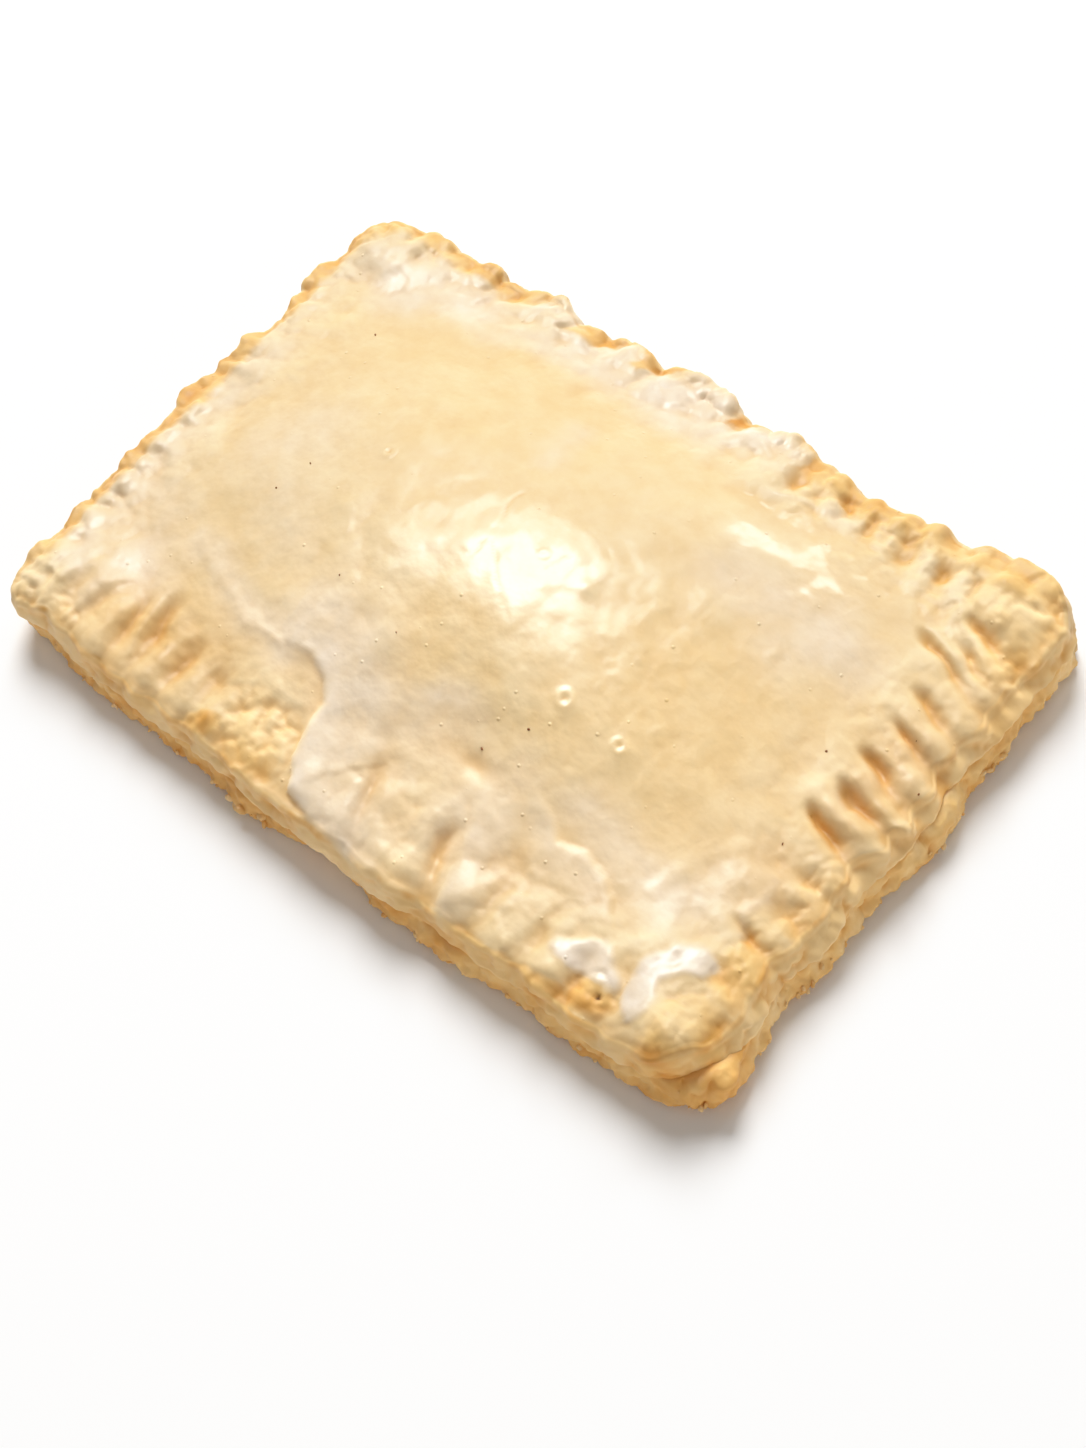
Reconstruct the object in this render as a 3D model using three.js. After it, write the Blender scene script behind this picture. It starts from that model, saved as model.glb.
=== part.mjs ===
// A glazed toaster pastry: two sheets of dough round a pillow of filling, pressed together with a
// fork along all four sides. Millimetres, +Z up, +X along the long side, flat underside on z = 0.
// The near long side faces -Y and the near short side faces +X.
import * as THREE from "three";

// Driving dimensions. The plan of each sheet is a rectangle with round corners, and places are
// measured from the middle of the upper sheet.
const topSheet = { left: -63.9, right: 63.4, near: -42.6, far: 42.9, corner: 5.0 };
const bottomSheet = { left: -63.0, right: 65.5, near: -43.9, far: 42.8, corner: 6.0 };
const middle = { x: 1.4, y: 0.2 }; // of the whole pastry's footprint, which stands on the origin
const seamHeight = 4.5; // top of the lower sheet at the edge
const seamGap = 0.3;
const rimHeight = 9.6; // top of the pressed edge
const pillowHeight = 10.6; // of the filled middle over the rim
const pillow = { x: -2.0, y: 3.2, halfLength: 62.0, halfWidth: 40.0, squareness: 2.7 };
const rimFall = { near: 1.5, right: 0.5, far: 0.6, left: 1.0 }; // of the rim towards its edge
const rimFallReach = 11.0; // how far in from the edge the rim starts to fall
const edgePoints = 352; // points of a ring round the upper sheet, divisible by 8
const unevenEdge = 0.4; // how far the cut edge wanders in and out
const unevenFace = 0.35; // how far the upper face wanders up and down

// Swellings of the edge, seen from above: [x, y, radius, how far it stands out].
const topLobes = [
  [-29, 42, 4.2, 1.9], // far long side
  [-15, 42, 6.0, 1.2],
  [-1, 42, 5.0, 2.5],
  [15, 42, 4.0, 1.3],
  [29, 42, 7.0, -0.6],
  [53, 43, 8.0, 2.0],
  [-60, 41, 6.0, -1.9],
  [-63, 31, 4.0, 0.9], // far short side
  [-63, 17, 4.5, -0.9],
  [-63, 7.5, 2.0, 0.9],
  [-63, 0, 3.2, 1.6],
  [-52, -42, 7.0, -1.2], // near long side
  [-2, -42, 9.0, 1.3],
  [14, -42, 5.0, 1.0],
  [38, -42, 7.0, -0.4],
  [63, 5, 5.0, 1.2], // near short side
  [63, 14, 3.5, -0.9],
  [63, -6, 4.0, -0.8],
  [63, -22, 6.0, -1.4],
];
const bottomLobes = [
  [-61, -42, 7.0, -1.8],
  [24, -43, 6.0, 0.8],
  [-12, -43, 3.0, 0.9],
  [65, 9, 6.0, 1.6],
  [65, 35, 9.0, -1.2],
  [66, -37, 4.2, 2.6], // the foot at the near corner
  [65, -28, 4.0, -0.7],
];

// Fork marks of each side: from and to are distances from the edge, and each mark is
// [place along the side, depth].
const forkMarks = {
  near: {
    from: 0.5,
    to: 12.5,
    width: 1.35,
    marks: [
      [-55.5, 1.2], [-43, 1.1], [-38, 1.0], [-31, 1.8], [-21, 0.8], [-14, 0.6],
      [-8.5, 1.9], [8, 1.2], [17.5, 2.0], [27, 0.6], [35, 0.5], [43, 1.6], [50, 0.7],
    ],
  },
  right: {
    from: 1.5,
    to: 10.5,
    width: 1.25,
    marks: [
      [34.5, 1.5], [31, 0.9], [27, 1.2], [22, 1.5], [14, 1.7], [8.5, 2.0], [3, 2.1],
      [-2, 2.1], [-9, 1.2], [-14.5, 0.9], [-20, 1.8], [-27, 0.9],
    ],
  },
  far: {
    from: 0.2,
    to: 7.5,
    width: 1.3,
    marks: [
      [-53, 0.8], [-47.5, 0.9], [-42.5, 0.9], [-37, 1.1], [-23, 1.0], [-18, 0.9],
      [-9, 1.2], [7.5, 1.1], [11.5, 0.9], [22, 1.5], [27, 1.3], [31, 1.2], [35, 1.4],
      [39.5, 1.1], [45, 1.7], [50.5, 1.3],
    ],
  },
  left: {
    from: 0.2,
    to: 6.0,
    width: 1.3,
    marks: [
      [35, 1.0], [25, 0.9], [19.5, 0.9], [14.5, 0.9], [10, 0.9], [4.5, 1.1],
      [-4.5, 0.8], [-10, 0.7], [-17, 0.7], [-24, 0.8], [-30, 0.8], [-36, 0.9],
    ],
  },
};

// Swellings and hollows of the upper face: [x, y, radius along X, radius along Y, height].
const lumps = [
  [56, 38, 6.5, 5.0, 1.7], // the four corners of the rim
  [58.5, -37, 4.0, 5.0, 1.5],
  [-56, 37, 8.0, 4.5, 1.4],
  [-58, -36, 5.0, 5.0, 0.6],
  [46, -24, 9.0, 5.0, 0.9], // low rolls on the flank of the pillow
  [-24, -13, 9.0, 5.0, 0.5],
  [-6, -17, 6.0, 4.0, 0.4],
  [12, -20, 7.0, 4.0, -0.7],
  [21, 24, 9.0, 5.0, 0.7],
  [41, 18, 5.0, 7.0, 0.8],
  [47, 5, 4.0, 12.0, -0.9],
  [-38, 31, 9.0, 4.0, 0.7],
];

// Thick runs of glaze that lie over the rim: [x, y, half length, half width, thickness].
const glazeRuns = [
  [-1, -34, 8.0, 8.0, 1.1],
  [-0.5, -39.5, 6.0, 3.0, 0.8],
  [27, -33, 17.0, 8.0, 0.6],
  [43, -35, 6.0, 3.5, 0.7],
  [53, -32, 2.6, 7.0, 0.9],
  [-28, 41, 5.0, 3.0, 0.8],
  [0, 41.5, 6.5, 3.2, 1.1],
  [15, 41, 5.5, 3.0, 0.8],
  [-25, -34, 2.2, 3.5, 0.5],
  [54, -14, 3.5, 4.5, 0.6],
];

function smoothStep(from, to, value) {
  return THREE.MathUtils.smoothstep(value, from, to);
}

function bell(distance) {
  return Math.exp(-distance * distance);
}

// Slow unevenness of hand-rolled dough, between -1 and 1.
function unevenness(x, y) {
  const long = Math.sin(0.19 * x + 1.3 * Math.sin(0.11 * y + 0.7));
  const cross = Math.sin(0.23 * y - 0.13 * x + 2.1);
  const short = Math.sin(0.61 * x + 0.37 * y + 1.1 * Math.sin(0.29 * x));
  return 0.45 * long + 0.3 * cross + 0.25 * short;
}

// Each side's place along it and distance in from it: [along, inward].
function sidePlaces(x, y) {
  return {
    near: [x, y - topSheet.near],
    far: [x, topSheet.far - y],
    left: [y, x - topSheet.left],
    right: [y, topSheet.right - x],
  };
}

function forkDepth(x, y) {
  const sides = sidePlaces(x, y);
  let depth = 0;
  for (const [side, { from, to, width, marks }] of Object.entries(forkMarks)) {
    const [along, inward] = sides[side];
    const reach = smoothStep(from - 2, from + 2.5, inward) * (1 - smoothStep(to - 3, to, inward));
    for (const [place, deep] of marks) {
      depth += deep * reach * bell((along - place) / width);
    }
  }
  return depth;
}

// How far the rim has fallen towards the edges that a point is close to.
function fallOfRim(x, y) {
  let fall = 0;
  for (const [side, [, inward]] of Object.entries(sidePlaces(x, y))) {
    const share = THREE.MathUtils.clamp(1 - inward / rimFallReach, 0, 1);
    fall += rimFall[side] * share ** 1.5;
  }
  return fall;
}

// Share of the pillow's full height over a point: 1 in its middle and 0 at its foot, where it
// runs out softly into the rim.
function pillowShare(x, y) {
  const { squareness } = pillow;
  const across = Math.abs((x - pillow.x) / pillow.halfLength) ** squareness;
  const along = Math.abs((y - pillow.y) / pillow.halfWidth) ** squareness;
  const rho = Math.min(1, (across + along) ** (1 / squareness));
  return (1 - rho ** 2.2) ** 2;
}

function glazeThickness(x, y) {
  let thickness = 0;
  for (const [cx, cy, halfLength, halfWidth, thick] of glazeRuns) {
    const rho = Math.hypot((x - cx) / halfLength, (y - cy) / halfWidth);
    thickness = Math.max(thickness, thick * (1 - smoothStep(0.55, 1.15, rho)));
  }
  return thickness;
}

// Height of the upper face of the pastry over any point of its plan.
function upperFace(x, y) {
  let height = rimHeight + pillowHeight * pillowShare(x, y) + unevenFace * unevenness(x, y);
  for (const [cx, cy, radiusX, radiusY, high] of lumps) {
    height += high * bell(Math.hypot((x - cx) / radiusX, (y - cy) / radiusY));
  }
  return height - fallOfRim(x, y) - forkDepth(x, y) + glazeThickness(x, y);
}

function lobeOffset(lobes, x, y) {
  let offset = 0;
  for (const [cx, cy, radius, out] of lobes) {
    offset += out * bell(Math.hypot(x - cx, y - cy) / radius);
  }
  return offset;
}

// The outline of a sheet from above as points [x, y], counter-clockwise, with its lobes.
function outline(sheet, lobes, count) {
  const { left, right, near, far, corner } = sheet;
  const path = new THREE.Path()
    .moveTo(0, near)
    .lineTo(right - corner, near)
    .absarc(right - corner, near + corner, corner, -Math.PI / 2, 0)
    .lineTo(right, far - corner)
    .absarc(right - corner, far - corner, corner, 0, Math.PI / 2)
    .lineTo(left + corner, far)
    .absarc(left + corner, far - corner, corner, Math.PI / 2, Math.PI)
    .lineTo(left, near + corner)
    .absarc(left + corner, near + corner, corner, Math.PI, 1.5 * Math.PI)
    .lineTo(0, near);
  return Array.from({ length: count }, (_, k) => {
    const { x, y } = path.getPointAt(k / count);
    const tangent = path.getTangentAt(k / count);
    const out = lobeOffset(lobes, x, y) + unevenEdge * unevenness(1.7 * x, 1.7 * y);
    return [x + out * tangent.y, y - out * tangent.x];
  });
}

// Moves a point in by inset: it stays where it is along the middle of a side, so that a fork mark
// runs straight in, and the last cornerReach before each corner is drawn together.
function movedIn([x, y], sheet, inset) {
  const cornerReach = 20;
  const drawnIn = (place, low, high) => {
    const share = inset / cornerReach;
    const past = Math.max(0, place - (high - cornerReach)) - Math.max(0, low + cornerReach - place);
    return place - share * past;
  };
  return [drawnIn(x, sheet.left, sheet.right), drawnIn(y, sheet.near, sheet.far)];
}

// A closed body made of rings, each a list of [x, y, z], from its lower face up to its top, with a
// point in the middle of the first ring and of the last. A ring may have fewer points than the
// one before it.
function bodyOfRings(rings, lowest, highest) {
  const positions = [...lowest];
  const faces = [];
  const loops = rings.map((points) => {
    const start = positions.length / 3;
    positions.push(...points.flat());
    return points.map((_, k) => start + k);
  });
  const top = positions.length / 3;
  positions.push(...highest);
  const first = loops[0];
  first.forEach((a, k) => faces.push(0, first[(k + 1) % first.length], a));
  for (let level = 1; level < loops.length; level++) {
    const [outer, inner] = [loops[level - 1], loops[level]];
    const share = inner.length / outer.length;
    outer.forEach((a, k) => {
      const here = inner[Math.round(k * share) % inner.length];
      const next = inner[Math.round((k + 1) * share) % inner.length];
      faces.push(a, outer[(k + 1) % outer.length], next);
      if (here !== next) faces.push(a, next, here);
    });
  }
  const last = loops[loops.length - 1];
  last.forEach((a, k) => faces.push(a, last[(k + 1) % last.length], top));
  const geometry = new THREE.BufferGeometry();
  geometry.setAttribute("position", new THREE.Float32BufferAttribute(positions, 3));
  geometry.setIndex(faces);
  geometry.computeVertexNormals();
  return geometry;
}

// The upper sheet and all that it covers: its wall bulges over the seam and rolls on to the rim,
// and from there rings run in over the fork marks and up the pillow.
function upperCrust() {
  const underside = seamHeight + seamGap;
  const wall = [
    [0.8, 0.0],
    [0.15, 0.14],
    [0.0, 0.42],
    [0.45, 0.76],
    [1.5, 0.94],
  ]; // [inset, share of the wall's height]
  const rimInsets = [3.0, 4.6, 6.3, 8.2, 10.2, 12.4];
  const pillowRings = [
    [0.94, 2],
    [0.87, 2],
    [0.79, 2],
    [0.68, 4],
    [0.5, 4],
    [0.27, 8],
  ]; // [scale of the innermost rim ring, share of its points]
  const edge = outline(topSheet, topLobes, edgePoints);
  const onTop = ([x, y]) => [x, y, upperFace(x, y)];
  const rings = wall.map(([inset, share]) =>
    edge.map((point) => {
      const [x, y] = movedIn(point, topSheet, inset);
      const high = upperFace(...movedIn(point, topSheet, rimInsets[0]));
      return [x, y, underside + share * (high - underside)];
    }),
  );
  for (const inset of rimInsets) {
    rings.push(edge.map((point) => onTop(movedIn(point, topSheet, inset))));
  }
  const foot = rings[rings.length - 1];
  for (const [scale, part] of pillowRings) {
    const kept = foot.filter((_, k) => k % part === 0);
    rings.push(kept.map(([x, y]) => onTop([x * scale, y * scale])));
  }
  return bodyOfRings(rings, [0, 0, underside], onTop([0, 0]));
}

// The lower sheet, flat underneath, with a rounded edge whose crags change from ring to ring.
function lowerCrust() {
  const profile = [
    [1.4, 0.0],
    [0.4, 0.5],
    [0.0, 1.9],
    [0.2, 3.5],
    [0.9, seamHeight],
  ]; // [inset, height]
  const edge = outline(bottomSheet, bottomLobes, edgePoints / 2);
  const rings = profile.map(([inset, z]) =>
    edge.map(([x, y]) => {
      const crag = unevenEdge * unevenness(2.3 * x + 5 * z, 2.3 * y - 4 * z);
      return [...movedIn([x, y], bottomSheet, inset + crag), z];
    }),
  );
  return bodyOfRings(rings, [0, 0, 0], [0, 0, seamHeight]);
}

function crust(name, geometry, colour) {
  const material = new THREE.MeshStandardMaterial({ color: colour, roughness: 0.5, metalness: 0 });
  const mesh = new THREE.Mesh(geometry, material);
  mesh.name = name;
  return mesh;
}

const pastry = new THREE.Group();
pastry.position.set(-middle.x, -middle.y, 0);
pastry.add(crust("crust_bottom", lowerCrust(), 0xdcb982));
pastry.add(crust("crust_top", upperCrust(), 0xf0dcae));

export default pastry;
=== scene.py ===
"""The looks of a glazed toaster pastry: two sheets of dough, fork-crimped along the edge, baked, and
covered with a thin sugar glaze. The pastry's sizes are in millimetres up to mesh_piece(), which
makes metres of them, and its places are measured from near the middle of the upper sheet."""
import math

import bmesh
import bpy
import numpy as np
from mathutils import Matrix, Vector


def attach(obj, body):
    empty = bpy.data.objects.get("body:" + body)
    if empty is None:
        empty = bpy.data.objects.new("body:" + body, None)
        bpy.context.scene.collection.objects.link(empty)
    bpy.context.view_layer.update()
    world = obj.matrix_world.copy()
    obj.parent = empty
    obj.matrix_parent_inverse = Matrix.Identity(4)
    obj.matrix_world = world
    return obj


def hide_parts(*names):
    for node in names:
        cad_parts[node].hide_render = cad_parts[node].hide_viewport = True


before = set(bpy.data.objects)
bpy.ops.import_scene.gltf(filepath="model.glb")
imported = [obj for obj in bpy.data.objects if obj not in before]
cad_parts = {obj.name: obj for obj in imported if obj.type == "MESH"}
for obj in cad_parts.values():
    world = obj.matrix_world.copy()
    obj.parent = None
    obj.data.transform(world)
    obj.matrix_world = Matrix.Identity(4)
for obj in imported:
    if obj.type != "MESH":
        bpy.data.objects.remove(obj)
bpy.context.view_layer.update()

# ---------------------------------------------------------------- sizes, in millimetres
MM = 0.001
MIDDLE = np.array([1.4, 0.2, 0.0])  # of the footprint, which stands on the frame's origin
GRID = 0.37  # spacing of the fine mesh

# The upper sheet's top edge from above, the radius of its corners, and how far its cut side and
# the lower sheet stand out beyond that edge, for each side.
LEFT, RIGHT, NEAR, FAR, CORNER = -62.9, 62.2, -41.6, 42.2, 4.6
SIDES = {"near": (0, -1), "right": (1, 0), "far": (0, 1), "left": (-1, 0)}
SEAM_OUT = {"near": 0.9, "right": 1.9, "far": 0.5, "left": 0.5}
LOWER_OUT = {"near": 1.9, "right": 3.3, "far": 0.9, "left": 0.4}
GROOVE_CUT = {"near": 0.4, "right": 0.9, "far": 0.4, "left": 0.4}  # how far marks cut the edge in
SEAM_HEIGHT, RIM_HEIGHT = 4.6, 9.6
SEAM_WAVES = 0.7  # how far the seam wanders up and down
PILLOW_HEIGHT = 10.6
PILLOW = (-2.0, 3.2, 62.0, 40.0, 2.7)  # middle, half sizes and squareness of its foot
RIM_FALL = {"near": 1.5, "right": 1.2, "far": 0.6, "left": 1.0}  # of the rim towards its edge
RIM_WIDTH = 11  # over which it falls

# The rounded top edge of the cut side, its share of that side's rings, and how many rings there are.
EDGE_RADIUS, EDGE_SHARE, UPPER_RINGS, LOWER_RINGS = 0.9, 0.25, 15, 18

# Beads of the far and left edge, and the pebbly grain of bare dough: size and seed of the noise.
BEADS, COARSE_GRAIN, FINE_GRAIN = (3.9, 33), (2.6, 31), (1.2, 37)

UPPER_UNDERSIDE, LOWER_TOPSIDE = SEAM_HEIGHT - 0.2, SEAM_HEIGHT - 1.2  # where the sheets close
CUT_RELIEF = 0.5  # depth of relief in the cut sides that gets full painted shade
SEAM_TUCK = 0.3  # how far the upper sheet's lowest ring is drawn in under the rest

THIN_GLAZE, GLAZE_FILM = 0.24, 0.04  # thickness of the coat, and of what is left on bare patches

# Swellings of the top edge, seen from above: x, y, radius, how far it stands out.
TOP_LOBES = [
    (-29, 42, 4.2, 1.9), (-15, 42, 6, 1.2), (-1, 42, 5, 2.5), (15, 42, 4, 1.3),
    (29, 42, 7, -0.6), (53, 43, 8, 2), (-60, 41, 6, -1.9), (-40, 42, 2.6, 0.7),
    (-47, 42, 2.8, 0.6), (-53, 42, 2.5, 0.7), (-63, 31, 4, 0.9), (-63, 17, 4.5, -0.9),
    (-63, 12.2, 1.5, 0.9), (-63, 7.5, 2, 1.5), (-63, 0, 3.2, 1.9), (-63, 24, 2.4, 0.5),
    (-52, -42, 7, -1.2), (-2, -42, 9, 1), (14, -42, 5, 0.8), (38, -42, 7, -0.3),
    (63, 5, 5, 1), (63, 14, 3.5, -0.9), (63, -6, 4, -0.8), (63, -22, 6, -1.4),
    (63, -40, 6, -2.2),
]
# The same for the lower sheet, and where its foot lifts the seam: x, y, radius, height.
LOWER_LOBES = [
    (-61, -42, 6, -1.6), (24, -43, 6, 0.8), (-12, -43, 3, 0.9), (3, -43, 8, -1.9),
    (65, 9, 6, 1), (65, 35, 9, -1.2), (66, -38.5, 5, 4.4), (65, -28, 4, -0.5),
]
FOOT_LIFT = (66, -38, 4.4, 4.2)

# Fork marks of each side: over what length they sink in, how much of the depth is lost towards the
# edge, half width, and for each mark its place, depth, lean and how far in from the edge it starts.
FORK_MARKS = {
    "near": (6, 0.2, 1.5, [
        (-57.5, 0.6, 0, 9), (-53, 0.8, 0, 10), (-48.2, 0.7, 0.1, 10.5),
        (-42, 0.9, -0.1, 12), (-37.7, 0.9, -0.1, 14), (-31.2, 1, 0.1, 11),
        (-24.4, 0.8, 0, 10), (-18.8, 0.5, -0.1, 8.5), (5, 0.8, -0.3, 11),
        (18.1, 1.4, -0.28, 10.5), (27, 0.4, 0.1, 9), (35.5, 0.6, 0, 9.5),
        (43, 0.8, 0.1, 9.5), (49, 0.5, 0, 8)]),
    "right": (3.4, 0.5, 1.1, [
        (31.9, 1.3, 0.31, 10), (27.8, 0.8, 0.4, 9), (24.3, 1.1, 0.36, 14),
        (18.9, 1.1, 0.35, 9), (13.3, 1.3, 0.37, 8.5), (7.3, 1.7, 0.23, 9.8),
        (1.9, 1.9, 0.24, 9.4), (-3.6, 1.8, 0.33, 10), (-9.8, 0.6, 0.2, 6),
        (-15, 0.5, 0, 6), (-21, 1.1, 0.2, 8), (-27, 0.6, 0.1, 7)]),
    "far": (3.5, 0.4, 1.3, [
        (-51.5, 0.4, 0, 7), (-44.5, 0.3, 0.1, 6), (-37, 0.4, 0, 7), (-23, 0.4, 0.1, 7),
        (-17.5, 0.5, 0, 6), (-9, 0.7, -0.1, 6), (7.5, 0.8, 0, 5), (11.5, 0.4, 0.1, 5),
        (20.5, 1.4, 0.1, 7), (28, 1.1, 0, 7), (33, 0.9, -0.1, 6), (39.5, 1, 0.1, 8),
        (45, 1.3, 0.2, 8.5), (50.5, 1, 0.3, 8)]),
    "left": (3.5, 0.4, 1.3, [
        (33, 0.4, 0, 5), (24, 0.4, 0.1, 5), (15, 0.5, 0, 5), (10, 0.6, 0.1, 4.5),
        (4.5, 0.7, 0, 5), (-5.5, 0.5, 0.1, 5), (-12.5, 0.4, 0, 5.5),
        (-20, 0.4, 0, 5), (-29, 0.5, 0.1, 6), (-37, 0.5, 0, 6)]),
}

# Swellings and hollows of the upper face: x, y, radius along X, radius along Y, height.
LUMPS = [
    (56, 38, 6.5, 5, 1.7), (57, -37, 3.8, 4, 2.6), (62.5, -33, 2.2, 3, -0.8), (-56, 37, 8, 4.5, 1.4),
    (-58, -36, 5, 5, 0.6), (46, -24, 9, 5, 0.2), (-6, -17, 6, 4, 0.2), (12, -20, 7, 4, -0.4),
    (21, 24, 9, 5, 0.6), (41, 18, 5, 7, 0.4), (47, 5, 4, 12, -0.5), (-38, 31, 9, 4, 0.5),
    (15, -24, 3.2, 1.6, -0.6), (27, -31, 3, 1.8, -0.35), (-23, -39, 3, 3, 0.5),
    (12.3, 2.7, 1.5, 1.3, 0.3), (20.9, -11.8, 1.6, 1.6, 0.15), (30.1, -12.3, 1.5, 1.5, 0.15),
]

# Fine lines in the glaze: half width, height (below 0 for a crack), and the points of each. Then
# burst bubbles in it: x, y, radius.
CRACK, WRINKLE, FOLD = (0.2, -0.09), (0.7, 0.05), (0.9, 0.25)
LINES = [
    (CRACK, [(-4.4, 9.6), (-4.7, 8.6), (-4.6, 5.5), (-4.2, 2.9)]),
    (CRACK, [(-2.7, 1), (-0.5, -0.8), (1.4, -2.9), (3.3, -4), (3.7, -4.9), (6.4, -6.2)]),
    (CRACK, [(7, 1), (7, 2.6), (7.6, 5.1)]),
    (CRACK, [(-6.2, -2.2), (-4.2, -1.9), (-3.5, 0.6)]),
    (FOLD, [(-42.5, -19.2), (-34.6, -22.4), (-27.4, -25.2), (-21, -25.5), (-14.5, -24.8)]),
    (WRINKLE, [(32.2, -8.3), (33.6, -5.3)]),
    (WRINKLE, [(-46, 30.5), (-38, 33), (-28, 34.5)]),
    (WRINKLE, [(15, 30), (21, 29), (26, 26)]),
]
VENTS = [(19.8, -11, 1), (29.2, -11.5, 0.9), (4.6, 3.3, 0.5), (-25.7, 4.8, 0.8)]

# Thick runs of glaze: width of the rounded border, thickness, whiteness, and points with the
# run's half width at each.
RUNS = [
    (1, 0.15, 1, [(39.6, -36.6, 1.4), (43, -35.4, 2.6), (47.5, -36.2, 1.6)]),
    (1, 0.18, 1, [(55, -27.4, 2), (52.3, -28.8, 2.7), (50.8, -31.9, 2.4),
        (50.9, -35.2, 2.1), (52.2, -38.6, 1.5)]),
    (2.2, 0.2, 0.8, [(55.3, -12.8, 1.3), (55.9, -15.5, 1.3), (54.8, -18.8, 1.2), (56.2, -21, 0.9)]),
    (3.5, 0.4, 0.9, [(-31, 39, 2.2), (-27.5, 42, 3.4)]),
    (3.5, 0.25, 0.6, [(-18, 39, 1.8), (-14, 42, 2.4)]),
    (4, 0.45, 0.95, [(-7, 38.8, 3), (-1, 41.8, 4.2), (3, 41.8, 3.4)]),
    (4, 0.4, 0.9, [(9, 38.8, 2.8), (14, 41.8, 3.4), (17.5, 41.3, 2.4)]),
    (3, 0.2, 0.7, [(19, 32.6, 0.8), (23, 35, 1.5), (28, 36, 2), (31, 35.4, 2.4)]),
]

# Borders of glaze that ends in a rounded step: width of the step, how far the swelling behind it
# reaches, whiteness, and points with the thickness at each. The glaze lies on the left of each line.
BORDERS = [
    (1.6, 9, 0.85, [(-27.4, -25.4, 0), (-21, -26, 0.15), (-14.5, -24.9, 0.4), (-11.2, -26.5, 0.7),
        (-9.6, -29, 0.9), (-9.2, -32.1, 1), (-8.2, -37, 1.1), (-5.6, -40.8, 1),
        (-0.5, -42.6, 0.6), (8, -43.4, 0.2), (14, -43.6, 0)]),
    (1.6, 7, 0.45, [(14, -22, 0), (16.4, -26, 0.1), (18.6, -30.5, 0.3), (20, -36, 0.4),
        (21.5, -41, 0.4), (24, -44, 0)]),
    (1.4, 5, 0.5, [(43.5, -31, 0), (41, -27.3, 0.25), (38.6, -25.6, 0.35), (34.1, -24.3, 0.3),
        (30, -25.3, 0.3), (27.7, -23.3, 0.25), (22, -21, 0)]),
]

# Milky veils in the thin glaze: reach, softness, strength and points.
VEILS = [
    (1.5, 3, 0.5, [(-41, -19), (-34, -22), (-27, -24.6), (-18, -26)]),
    (2.5, 4, 0.5, [(31, -21), (38, -22), (46, -23)]),
    (1.5, 4, 0.5, [(-49, -28), (-50.5, -35)]),
    (1, 3, 0.6, [(-57.5, -28), (-56, -32.5)]),
    (1.5, 4, 0.5, [(42, 16.5), (46.5, 18.5)]),
    (2, 5, 0.6, [(-50, 30.5), (-38, 34.3), (-23, 37), (-8, 38), (6, 37)]),
    (3, 6, 0.5, [(-58, -26), (-59.5, -8), (-58.5, 10)]),
    (3, 7, 0.35, [(-44, -2), (-39, 3)]),
    (3, 6, 0.4, [(-51, -19), (-46, -27)]),
    (4.5, 6, 0.35, [(-14, -23), (0, -26.5), (7, -24)]),
    (1.4, 4, 0.5, [(5, -19.5), (9, -18.5)]),
    (4, 6, 0.45, [(20, -24), (18, -34)]),
    (0.7, 3, 0.4, [(-5.5, 15), (-7.5, 25)]),
    (3, 6, 0.5, [(25, 17), (37, 21)]),
    (3, 5, 0.45, [(37, 13), (42, 17)]),
    (3, 5, 0.5, [(-56, 34), (-38, 38)]),
    (3, 6, 0.4, [(-20, 38), (16, 39)]),
    (2, 6, 0.3, [(-61, 26), (-59, 17)]),
    (1.5, 5, 0.3, [(57, 13), (57, 1)]),
    (3, 5, 0.35, [(52, -14), (48, -22)]),
    (2, 6, 0.3, [(-35, -9), (-28, -14)]),
]

# Patches that look bare, under a mere film of glaze: x, y, half length, half width, turn.
BARE = [
    (35, 40.5, 15.5, 5, 0), (57.5, 38.5, 8, 6.5, 0), (48, 37, 6, 6, 0),
    (58.5, 31, 4.5, 3.5, 0), (59.5, -37.5, 5.6, 7, 0), (60, -24, 3.6, 6.5, 0),
    (61.5, -12, 2.2, 6, 0), (46.8, -40, 3.2, 2.6, 0), (34, -42.5, 12, 1.6, 0),
    (-22.5, -39.6, 1.6, 1.5, 0), (-15.5, -37.5, 5.6, 6, -20), (-57, -40.8, 6, 4, 0),
    (-62, -36, 2.2, 6, 0), (-44, -42.8, 9, 1.4, 0), (-64, 30, 2.4, 6, 0),
    (-65, 14, 2.4, 8, 0), (-61, 40, 3.4, 3, 0), (-46, 43.4, 10, 2.2, 0),
    (-20, 42.5, 3.2, 1.4, 0), (7, 42.3, 2.2, 2, 0), (64, 12, 1, 22, 0),
]

# Where the dough shows through the thin glaze more, or less: x, y, radius, how much.
GOLDEN = [
    (0, -12, 18, 0.15), (32, 0, 13, 0.18), (-20, 22, 12, 0.08), (-46, 16, 10, 0.12),
    (-40, 0, 10, -0.15), (10, 20, 10, -0.12), (-30, 14, 8, -0.08), (48, -12, 12, 0.05),
]

# Where the glaze and the dough are darker, partly for their deeper colour and partly as painted
# shade: x, y, radius along X and Y, how much.
DEEPER_AND_SHADED = [
    (-37, -34, 13, 6.5, 0.75), (57.5, 6, 4.5, 15, 0.6), (55, -13, 5, 6, 0.5), (61, 24, 5, 7, 0.3),
    (30, 39, 11, 4, 0.15), (-50, 41, 10, 4, 0.15), (27, -33, 8, 4, 0.3), (-63, -10, 3, 10, 0.25),
    (4.8, -34, 3.5, 4.5, 0.35), (12, -24, 7, 2.5, 0.3), (39.6, -29, 2.5, 2, 0.3),
    (27.3, -30.3, 2.5, 2, 0.3),
]

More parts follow.
